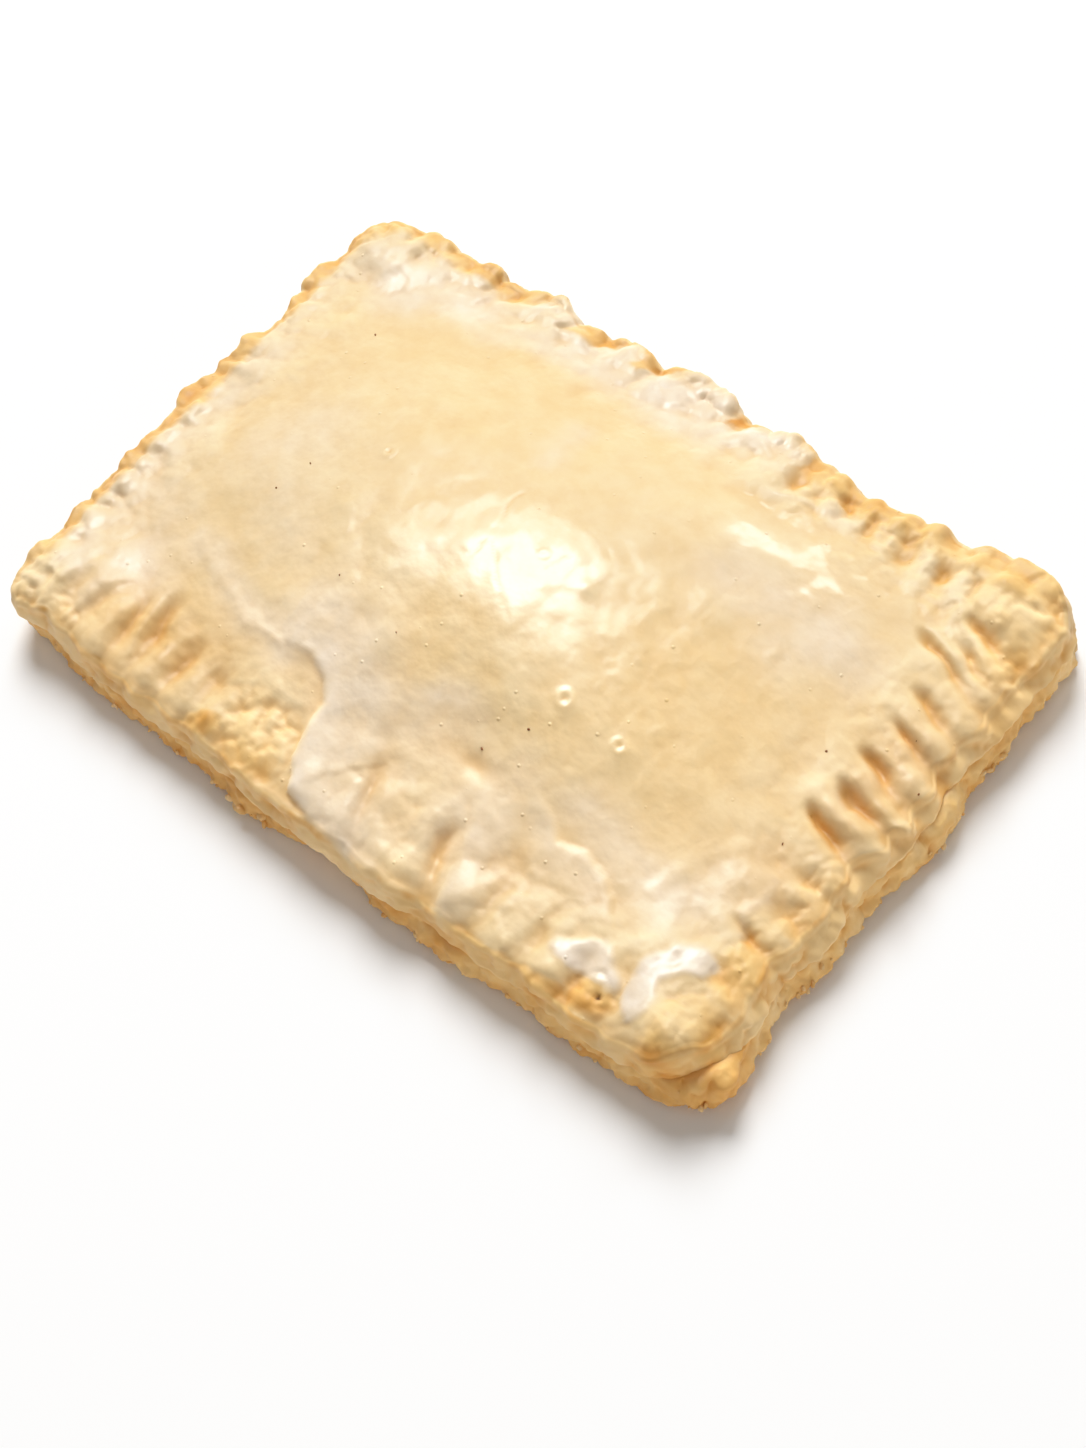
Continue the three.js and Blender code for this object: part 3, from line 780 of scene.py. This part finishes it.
def lower_side(loop, normals, seam):
    """The lower sheet: a crumbly cut side that leans out to a browned bottom edge."""
    shell = Shell()
    seam_out, lower_out = per_side(SEAM_OUT, normals), per_side(LOWER_OUT, normals)
    outer = loop + normals * 2
    lobes = spots_total(LOWER_LOBES, *outer.T)
    lift = spots_total([FOOT_LIFT], *outer.T)
    rings = []
    ledge = np.clip(lobes / 2.0, 0, 1)
    for number in range(LOWER_RINGS + 1):
        share = number / LOWER_RINGS
        down = smooth_step(0.0, 1.0, share) * (1 - ledge) + smooth_step(0.25, 1.0, share) * ledge
        spread = smooth_step(0.05, 0.75, share) * (1 - ledge) + smooth_step(0.0, 0.5, share) * ledge
        lean = seam_out - 0.5 + 0.55 * smooth_step(0.0, 0.12, share)
        lean = lean + (lower_out - seam_out + lobes) * spread
        out = lean - 2.2 * smooth_step(0.62, 1.0, share) ** 2
        raised = lift * (1 - share) * (0.5 + 0.5 * smooth_step(0.0, 0.2, share))
        z = (seam - 0.12) * (1 - down) + raised
        place = moved_out(loop, normals, out, z)
        crumb = pebbles(place * np.array([1, 1, 1.3]), 2.8, 111) - 0.4
        small = pebbles(place, 1.2, 117) - 0.4
        flake = layered_noise(place * np.array([1, 1, 2.2]), 2.6, 113)
        rough = smooth_step(0.0, 0.15, share) * (1 - 0.5 * smooth_step(0.92, 1.0, share))
        relief = 0.8 * crumb + 0.6 * small + 0.4 * flake
        out += relief * rough
        # The relief's dips get painted shade, and its bumps painted light.
        rings.append(shell.add(moved_out(loop, normals, out, z), -relief / CUT_RELIEF))
    for upper, lower in zip(rings, rings[1:]):
        shell.join(strip_faces(upper, lower))
    close_shell(shell, rings[-1], [(inset, 0.0) for inset in (0.02, 0.06, 0.14, 0.3, 0.5, 0.72)])
    close_shell(shell, rings[0], [(inset, LOWER_TOPSIDE) for inset in (0.05, 0.5)], False)
    return shell


def point_normals(points, quads):
    face_normals = np.cross(points[quads[:, 2]] - points[quads[:, 0]],
                            points[quads[:, 3]] - points[quads[:, 1]])
    total = np.zeros(points.shape)
    for corner in range(4):
        np.add.at(total, quads[:, corner], face_normals)
    return total / np.maximum(np.linalg.norm(total, axis=1, keepdims=True), 1e-9)


def mesh_piece(name, points, faces):
    """An object made of millimetre points, with its place in its mesh."""
    mesh = bpy.data.meshes.new(name)
    mesh.from_pydata(((points - MIDDLE) * MM).tolist(), [], [tuple(face) for face in faces])
    mesh.update()
    mesh.shade_smooth()
    piece = bpy.data.objects.new(name, mesh)
    bpy.context.scene.collection.objects.link(piece)
    return piece


def set_tint(piece, colours):
    attribute = piece.data.attributes.new("tint", "FLOAT_COLOR", "POINT")
    with_alpha = np.concatenate([colours, np.ones((len(colours), 1))], axis=1)
    attribute.data.foreach_set("color", with_alpha.astype(np.float32).ravel())


def set_share(piece, name, values):
    attribute = piece.data.attributes.new(name, "FLOAT", "POINT")
    attribute.data.foreach_set("value", np.asarray(values, np.float32))


# ---------------------------------------------------------------- materials
class Nodes:
    """Short ways to add nodes to a material."""

    def __init__(self, name):
        self.material = bpy.data.materials.new(name)
        self.material.use_nodes = True
        self.tree = self.material.node_tree
        self.shader = self.tree.nodes["Principled BSDF"]
        self.shader.subsurface_method = "BURLEY"
        self.place = self.tree.nodes.new("ShaderNodeTexCoord").outputs["Object"]

    def attribute(self, name, output="Fac"):
        node = self.tree.nodes.new("ShaderNodeAttribute")
        node.attribute_name = name
        return node.outputs[output]

    def noise(self, per_metre, detail, rough):
        node = self.tree.nodes.new("ShaderNodeTexNoise")
        node.inputs["Scale"].default_value = per_metre
        node.inputs["Detail"].default_value = detail
        node.inputs["Roughness"].default_value = rough
        self.tree.links.new(self.place, node.inputs["Vector"])
        return node.outputs["Fac"]

    def cells(self, per_metre):
        """Distance from the middle of cells, and a random number for each cell."""
        node = self.tree.nodes.new("ShaderNodeTexVoronoi")
        node.inputs["Scale"].default_value = per_metre
        self.tree.links.new(self.place, node.inputs["Vector"])
        split = self.tree.nodes.new("ShaderNodeSeparateColor")
        self.tree.links.new(node.outputs["Color"], split.inputs["Color"])
        return node.outputs["Distance"], split.outputs["Red"]

    def math(self, operation, first, second):
        node = self.tree.nodes.new("ShaderNodeMath")
        node.operation = operation
        for socket, value in zip(node.inputs, (first, second)):
            self.put(value, socket)
        return node.outputs["Value"]

    def put(self, value, socket):
        if isinstance(value, bpy.types.NodeSocket):
            self.tree.links.new(value, socket)
        else:
            socket.default_value = value

    def spread(self, value, low, high, to_low=0.0, to_high=1.0):
        node = self.tree.nodes.new("ShaderNodeMapRange")
        node.interpolation_type = "SMOOTHSTEP"
        self.tree.links.new(value, node.inputs["Value"])
        names = ("From Min", "From Max", "To Min", "To Max")
        for name, number in zip(names, (low, high, to_low, to_high)):
            node.inputs[name].default_value = number
        return node.outputs["Result"]

    def mix(self, share, first, second, blend="MIX"):
        node = self.tree.nodes.new("ShaderNodeMix")
        node.data_type = "RGBA"
        node.blend_type = blend
        sockets = (node.inputs[0], node.inputs[6], node.inputs[7])
        for socket, value in zip(sockets, (share, first, second)):
            self.put(value, socket)
        return node.outputs[2]

    def bump(self, height, distance, strength, after=None):
        node = self.tree.nodes.new("ShaderNodeBump")
        node.inputs["Strength"].default_value = strength
        node.inputs["Distance"].default_value = distance
        self.tree.links.new(height, node.inputs["Height"])
        if after is not None:
            self.tree.links.new(after, node.inputs["Normal"])
        return node.outputs["Normal"]

    def finish(self, **values):
        for name, value in values.items():
            self.put(value, self.shader.inputs[name.replace("_", " ")])
        return self.material


MOTTLE, RIPPLES, GRAIN, BEAD_CELLS = 260, 330, 900, 480  # features per metre
BEAD_HEIGHT = 0.00016  # in metres

# For each material how deep its ripples and its grain are, in metres, its roughness where it is
# dull and where it shines, and how strong its clear coat is there.
FINISHES = {
    "baked_dough_top": (0.0003, 0.0002, 0.5, 0.35, 0.5),
    "sugar_glaze": (0.0003, 0.0001, 0.45, 0.34, 0.6),
    "baked_dough_bottom": (0.0006, 0.0004, 0.5, 0.4, 0.3),
}


def food_material(name):
    """Dough or glaze: the mesh's own tint with fine mottling, grain and small bright beads."""
    ripple_depth, grain_depth, dull, shiny, coat = FINISHES[name]
    n = Nodes(name)
    mottle = n.noise(MOTTLE, 5.0, 0.55)
    gloss = n.attribute("gloss")
    tint = n.mix(n.spread(mottle, 0.3, 0.7, 0.0, 1.0), (0.97, 0.94, 0.88, 1), (1.02, 1.03, 1.05, 1))
    tint = n.mix(1.0, n.attribute("tint", "Color"), tint, "MULTIPLY")
    normal = n.bump(n.noise(RIPPLES, 1.0, 0.4), ripple_depth, 0.5)
    normal = n.bump(n.noise(GRAIN, 1.5, 0.4), grain_depth, 0.5, normal)
    bead_distance, bead_chance = n.cells(BEAD_CELLS)
    beads = n.math("MULTIPLY", n.spread(bead_distance, 0.0, 0.16, 1.0, 0.0),
                   n.spread(bead_chance, 0.78, 0.8, 0.0, 1.0))
    normal = n.bump(beads, BEAD_HEIGHT, 0.8, normal)
    return n.finish(
        Base_Color=tint,
        Roughness=n.spread(gloss, 0.0, 1.0, dull, shiny),
        Normal=normal,
        Coat_Weight=n.spread(gloss, 0.0, 1.0, 0.0, coat),
        Coat_Roughness=0.14,
        Subsurface_Weight=0.7,
        Subsurface_Radius=(1.0, 0.85, 0.7),
        Subsurface_Scale=0.0008,
        Specular_IOR_Level=0.3,
    )


def dress(piece, material, slot, *replaced):
    piece.data.materials.append(material)
    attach(piece, "root")
    if replaced:
        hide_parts(*replaced)


# ---------------------------------------------------------------- the pastry
def crevice_shade_share(z):
    """Painted shade and light: how far a grid of heights lies in a hollow (up to 1, painted darker)
    or on a crest (below 0, painted lighter).
    """
    return np.clip((blurred(z, CREVICE_REACH) - z) / CREVICE_DEPTH, -0.3, 1.0)


def gloss_share(points, cover, white):
    """How shiny a place is: most on the pillow and on the thick runs, less on the rim."""
    x, y = points[:, 0], points[:, 1]
    inward = np.minimum(edge_distance(x, y), np.minimum(0.5 * (y - NEAR), 0.6 * (RIGHT - x)))
    pillow = smooth_step(7, 17, inward)
    uneven = 0.2 * layered_noise(points, 7.0, 151)
    wet = 0.15 + 0.85 * pillow + 0.5 * white + uneven
    return np.clip((0.35 + 0.65 * cover) * wet, 0, 1)


class UpperSheet:
    """The upper sheet of dough: its face, its cut side and a plain underside, and what the colours
    of its points are made from. The face's points come first, then the cut side's."""

    def __init__(self):
        self.x, self.y = plan_grid()
        self.dough_z = dough_face(self.x, self.y)
        self.thickness = glaze_thickness(self.x, self.y)
        self.face_count = self.x.size
        shell = Shell()
        shell.add(np.stack([self.x, self.y, self.dough_z], axis=-1).reshape(-1, 3))
        shell.join(grid_faces(*self.x.shape))
        top_ring = border(*self.x.shape)
        top_points = shell.all_points()[top_ring]
        self.loop = smoothed_loop(top_points[:, :2], 7)
        self.normals = loop_normals(self.loop)
        self.seam = SEAM_HEIGHT + SEAM_WAVES * layered_noise(flat(*self.loop.T), 9.0, 91)
        bottom = upper_wall(shell, top_ring, top_points, self.loop, self.normals, self.seam)
        self.outer_count, self.outer_faces = shell.count, len(shell.faces)
        close_shell(shell, bottom, [(inset, UPPER_UNDERSIDE) for inset in (0.05, 0.5)])
        self.points, self.faces = shell.all_points(), shell.faces
        self.set_looks(np.concatenate(shell.hollows))

    def set_looks(self, crevice_shade):
        plan, on_face = self.points[:, :2].T, slice(0, self.face_count)
        # Painted shade in the face's hollows and painted light on its crests, found from its heights
        # with the glaze.
        crevice_shade[on_face] = crevice_shade_share(self.dough_z + np.clip(self.thickness, 0, None)).ravel()
        self.crevice_shade = crevice_shade
        self.below = np.clip(RIM_HEIGHT - 0.4 - self.points[:, 2], 0, None)
        self.below[on_face] = 0
        self.cover = (1 - bare_share(*plan)) * (1 - smooth_step(0.2, 2.0, self.below))
        self.white = milkiness(*plan)
        self.toast = toast_of_upper(self.points)
        # Painted light and shade: the cut sides darker where they face the main light, and the face
        # evened out by its slopes.
        self.brightness = cut_level(self.points, CUT_LEVEL)
        self.brightness += (FACE_LEVEL - self.brightness) * smooth_step(2.0, 0.0, self.below)
        self.brightness[on_face] = painted_light_evening(self.dough_z).ravel()


def build_crust_top(sheet):
    crust = mesh_piece("crust_top_baked", sheet.points, sheet.faces)
    set_tint(crust, pastry_tint(sheet.points, sheet.cover, sheet.white * 0.6, sheet.toast,
                                sheet.crevice_shade, sheet.brightness))
    set_share(crust, "gloss", gloss_share(sheet.points, sheet.cover, sheet.white))
    dress(crust, food_material("baked_dough_top"), "crust_top", "crust_top")


def build_glaze(sheet):
    """The glaze: the upper sheet's outside, evened out and raised by the glaze's thickness. Where
    the dough looks bare, and down the cut side, only a film of it is left."""
    count, face_count = sheet.outer_count, sheet.face_count
    points, quads = sheet.points[:count], np.array(sheet.faces[: sheet.outer_faces])
    over_wall = glaze_thickness(*points[face_count:, :2].T)
    depth = np.maximum(np.concatenate([sheet.thickness.ravel(), over_wall]), 0.06)
    reach_down = 0.6 + 3.4 * smooth_step(0.35, 1.1, depth + 0.25 * layered_noise(points, 5.0, 61))
    depth = depth - 0.4 * smooth_step(reach_down - 1.2, reach_down + 0.8, sheet.below[:count])
    depth = np.maximum(depth, GLAZE_FILM)
    level = blurred(sheet.dough_z, 0.7) - sheet.dough_z
    level = level * smooth_step(0.5, 3.0, edge_distance(sheet.x, sheet.y))
    level = level * smooth_step(0.1, 0.8, sheet.thickness)
    lines = fine_lines(sheet.x, sheet.y)
    raised = points + point_normals(points, quads) * depth[:, None]
    raised[:face_count, 2] += (level + lines).ravel()
    glaze = mesh_piece("glaze", raised, quads)

    _, _, inside = glaze_runs(*points[:, :2].T)
    cover, white = np.maximum(sheet.cover[:count], inside), sheet.white[:count]
    # Less painted shade inside thick runs, and painted shade in the glaze's cracks.
    crevice_shade = sheet.crevice_shade[:count] * (1 - 0.3 * inside)
    crevice_shade[:face_count] += np.clip(-lines.ravel() * 5, 0, 1)
    set_tint(glaze, pastry_tint(points, cover, white, sheet.toast[:count],
                                np.clip(crevice_shade, -0.3, 1), sheet.brightness[:count]))
    set_share(glaze, "gloss", gloss_share(points, cover, white))
    dress(glaze, food_material("sugar_glaze"), "glaze")


def build_crust_bottom(loop, normals, seam):
    shell = lower_side(loop, normals, seam)
    points = shell.all_points()
    crust = mesh_piece("crust_bottom_baked", points, shell.faces)
    bare = np.zeros(len(points))
    # Painted shade in the cut side's dips, and painted light on its bumps.
    hollows = np.clip(np.concatenate(shell.hollows), -0.4, 1)
    set_tint(crust, pastry_tint(points, bare, bare, toast_of_lower(points), hollows,
                                cut_level(points, LOWER_LEVEL)))
    set_share(crust, "gloss", bare)
    dress(crust, food_material("baked_dough_bottom"), "crust_bottom", "crust_bottom")
    return points


def build_pastry():
    sheet = UpperSheet()
    build_crust_top(sheet)
    build_glaze(sheet)
    lower_points = build_crust_bottom(sheet.loop, sheet.normals, sheet.seam)
    build_crumbs(np.concatenate([sheet.points[: sheet.outer_count], lower_points]))


def crumb_shape():
    """Points and triangles of a small ball that crumbs are made from."""
    ball = bmesh.new()
    bmesh.ops.create_icosphere(ball, subdivisions=2, radius=1.0)
    ball.verts.index_update()
    points = np.array([vertex.co for vertex in ball.verts])
    faces = np.array([[vertex.index for vertex in face.verts] for face in ball.faces])
    ball.free()
    return points, faces


def random_turn(rng):
    first, second = rng.normal(size=(2, 3))
    first /= np.linalg.norm(first)
    third = np.cross(first, second)
    third /= np.linalg.norm(third)
    return np.stack([first, np.cross(third, first), third])


def build_crumbs(surface):
    """Loose and half-loose crumbs of the crust, each sunk a little into the surface, and the few
    dark specks in the glaze."""
    rng = np.random.default_rng(11)
    ball, triangles = crumb_shape()
    points, faces, tints = [], [], []

    def add(centre, half_sizes, colour_of_crumb):
        lumpy = 1 + 0.25 * value_noise(ball * 1.3 + rng.uniform(0, 50, 3), 201)[:, None]
        faces.append(triangles + len(ball) * len(points))
        points.append(centre + (ball * lumpy * half_sizes) @ random_turn(rng))
        tints.append(np.tile(colour_of_crumb, (len(ball), 1)))

    for cx, cy, half_length, half_width, lowest, highest, count, largest in CRUMBS:
        inside = np.hypot((surface[:, 0] - cx) / half_length, (surface[:, 1] - cy) / half_width) < 1
        inside &= (surface[:, 2] > lowest) & (surface[:, 2] < highest)
        for centre in surface[rng.choice(np.flatnonzero(inside), count)]:
            size = largest * rng.uniform(0.45, 1.0)
            half_sizes = size * np.array([1.0, rng.uniform(0.6, 0.9), rng.uniform(0.35, 0.7)])
            add(centre + [0, 0, 0.1 * size], half_sizes, ramp_colour(rng.uniform(0.3, 0.7)))
    for place in np.array(SPECKS):
        nearest = np.argmin(np.hypot(*(surface[:, :2] - place).T) - 0.001 * surface[:, 2])
        add(surface[nearest] + [0, 0, SPECK_SIZE[0]], np.array(SPECK_SIZE), SPECK)
    crumbs = mesh_piece("crumbs", np.concatenate(points), np.concatenate(faces).tolist())
    set_tint(crumbs, np.concatenate(tints))
    n = Nodes("crumb")
    dress(crumbs, n.finish(Base_Color=n.attribute("tint", "Color"), Roughness=0.45), "crust_top")


# ---------------------------------------------------------------- camera, floor and light
FOCAL_PIXELS, IMAGE_HEIGHT = 2390.3, 1448
CAMERA_PLACE = (146.84, -110.22, 284.37)
CAMERA_AZIMUTH, CAMERA_ELEVATION, CAMERA_ROLL = -53.29, 59.37, -15.0
FLOOR_WIDTH, FLOOR_COLOUR = 5.0, (0.94, 0.94, 0.94, 1)  # in metres
SKY_COLOUR, SKY_STRENGTH = (1.0, 0.93, 0.85, 1), 0.27
COOL, WARM = (0.99, 1.0, 1.01), (1.0, 0.95, 0.88)

# For each light the direction that it shines from, its distance and size in metres, its radiance
# and tone, and whether it lights dull and shiny surfaces.
LIGHTS = {
    "key": (KEY_DIRECTION, 2.4, (1.3, 1.3), 18.0, COOL, True, False),
    "soft box": ((-0.38, 0.265, 0.885), 2.4, (1.9, 1.5), 5.5, COOL, False, True),
    "window": ((-0.36, 0.23, 0.90), 2.3, (0.95, 0.75), 12.0, COOL, False, True),
    "back": ((-0.13, 0.86, 0.5), 2.4, (0.5, 0.4), 12.0, COOL, True, True),
    "side": ((0.86, -0.33, 0.4), 2.4, (2.0, 1.2), 1.4, WARM, True, False),
}


def make_camera():
    azimuth, elevation, roll = (
        math.radians(v) for v in (CAMERA_AZIMUTH, CAMERA_ELEVATION, CAMERA_ROLL)
    )
    forward = Vector((
        math.sin(azimuth) * math.cos(elevation),
        math.cos(azimuth) * math.cos(elevation),
        -math.sin(elevation),
    ))
    level_right = forward.cross(Vector((0, 0, 1))).normalized()
    level_up = level_right.cross(forward)
    right = level_right * math.cos(roll) + level_up * math.sin(roll)
    up = -level_right * math.sin(roll) + level_up * math.cos(roll)
    data = bpy.data.cameras.new("camera")
    data.sensor_fit = "VERTICAL"
    data.sensor_height = 36.0
    data.lens = FOCAL_PIXELS / IMAGE_HEIGHT * data.sensor_height
    data.clip_start = 0.01
    camera = bpy.data.objects.new("camera", data)
    turn = Matrix((right, up, -forward)).transposed().to_4x4()
    place = (Vector(CAMERA_PLACE) - Vector(MIDDLE)) * MM
    camera.matrix_world = Matrix.Translation(place) @ turn
    bpy.context.scene.collection.objects.link(camera)
    bpy.context.scene.camera = camera


def make_floor():
    mesh = bpy.data.meshes.new("floor")
    half = FLOOR_WIDTH / 2
    corners = [(-half, -half, 0), (half, -half, 0), (half, half, 0), (-half, half, 0)]
    mesh.from_pydata(corners, [], [(0, 1, 2, 3)])
    floor = bpy.data.objects.new("floor", mesh)
    bpy.context.scene.collection.objects.link(floor)
    n = Nodes("floor")
    mesh.materials.append(n.finish(Base_Color=FLOOR_COLOUR, Roughness=0.9, Specular_IOR_Level=0.1))


def area_light(name, direction, distance, size, radiance, tone, dull, shiny):
    """A soft box that shines at the pastry."""
    data = bpy.data.lights.new(name, "AREA")
    data.shape = "ELLIPSE"
    data.size, data.size_y = size
    data.energy = radiance * math.pi * math.pi / 4 * size[0] * size[1]
    data.color = tone
    light = bpy.data.objects.new(name, data)
    away = Vector(direction).normalized()
    light.location = away * distance
    light.rotation_euler = away.to_track_quat("Z", "Y").to_euler()
    light.visible_diffuse, light.visible_glossy = dull, shiny
    bpy.context.scene.collection.objects.link(light)


def make_light():
    world = bpy.data.worlds.new("studio")
    bpy.context.scene.world = world
    world.use_nodes = True
    background = world.node_tree.nodes["Background"]
    background.inputs["Color"].default_value = SKY_COLOUR
    background.inputs["Strength"].default_value = SKY_STRENGTH
    for name, settings in LIGHTS.items():
        area_light(name, *settings)


# The camera's response: straight up to 0.85, and then a soft shoulder.
BRIGHTEST = 1.1
RESPONSE = [(0.85, 0.85), (0.95, 0.938), (1.03, 0.985), (BRIGHTEST, 1.0)]


def set_response():
    view = bpy.context.scene.view_settings
    view.view_transform = "Standard"
    view.look = "None"
    view.use_curve_mapping = True
    mapping = view.curve_mapping
    mapping.white_level = (BRIGHTEST,) * 3
    combined = mapping.curves[3]
    for bright, shown in RESPONSE[:-1]:
        combined.points.new(bright / BRIGHTEST, shown)
    mapping.update()


build_pastry()
make_camera()
make_floor()
make_light()
set_response()
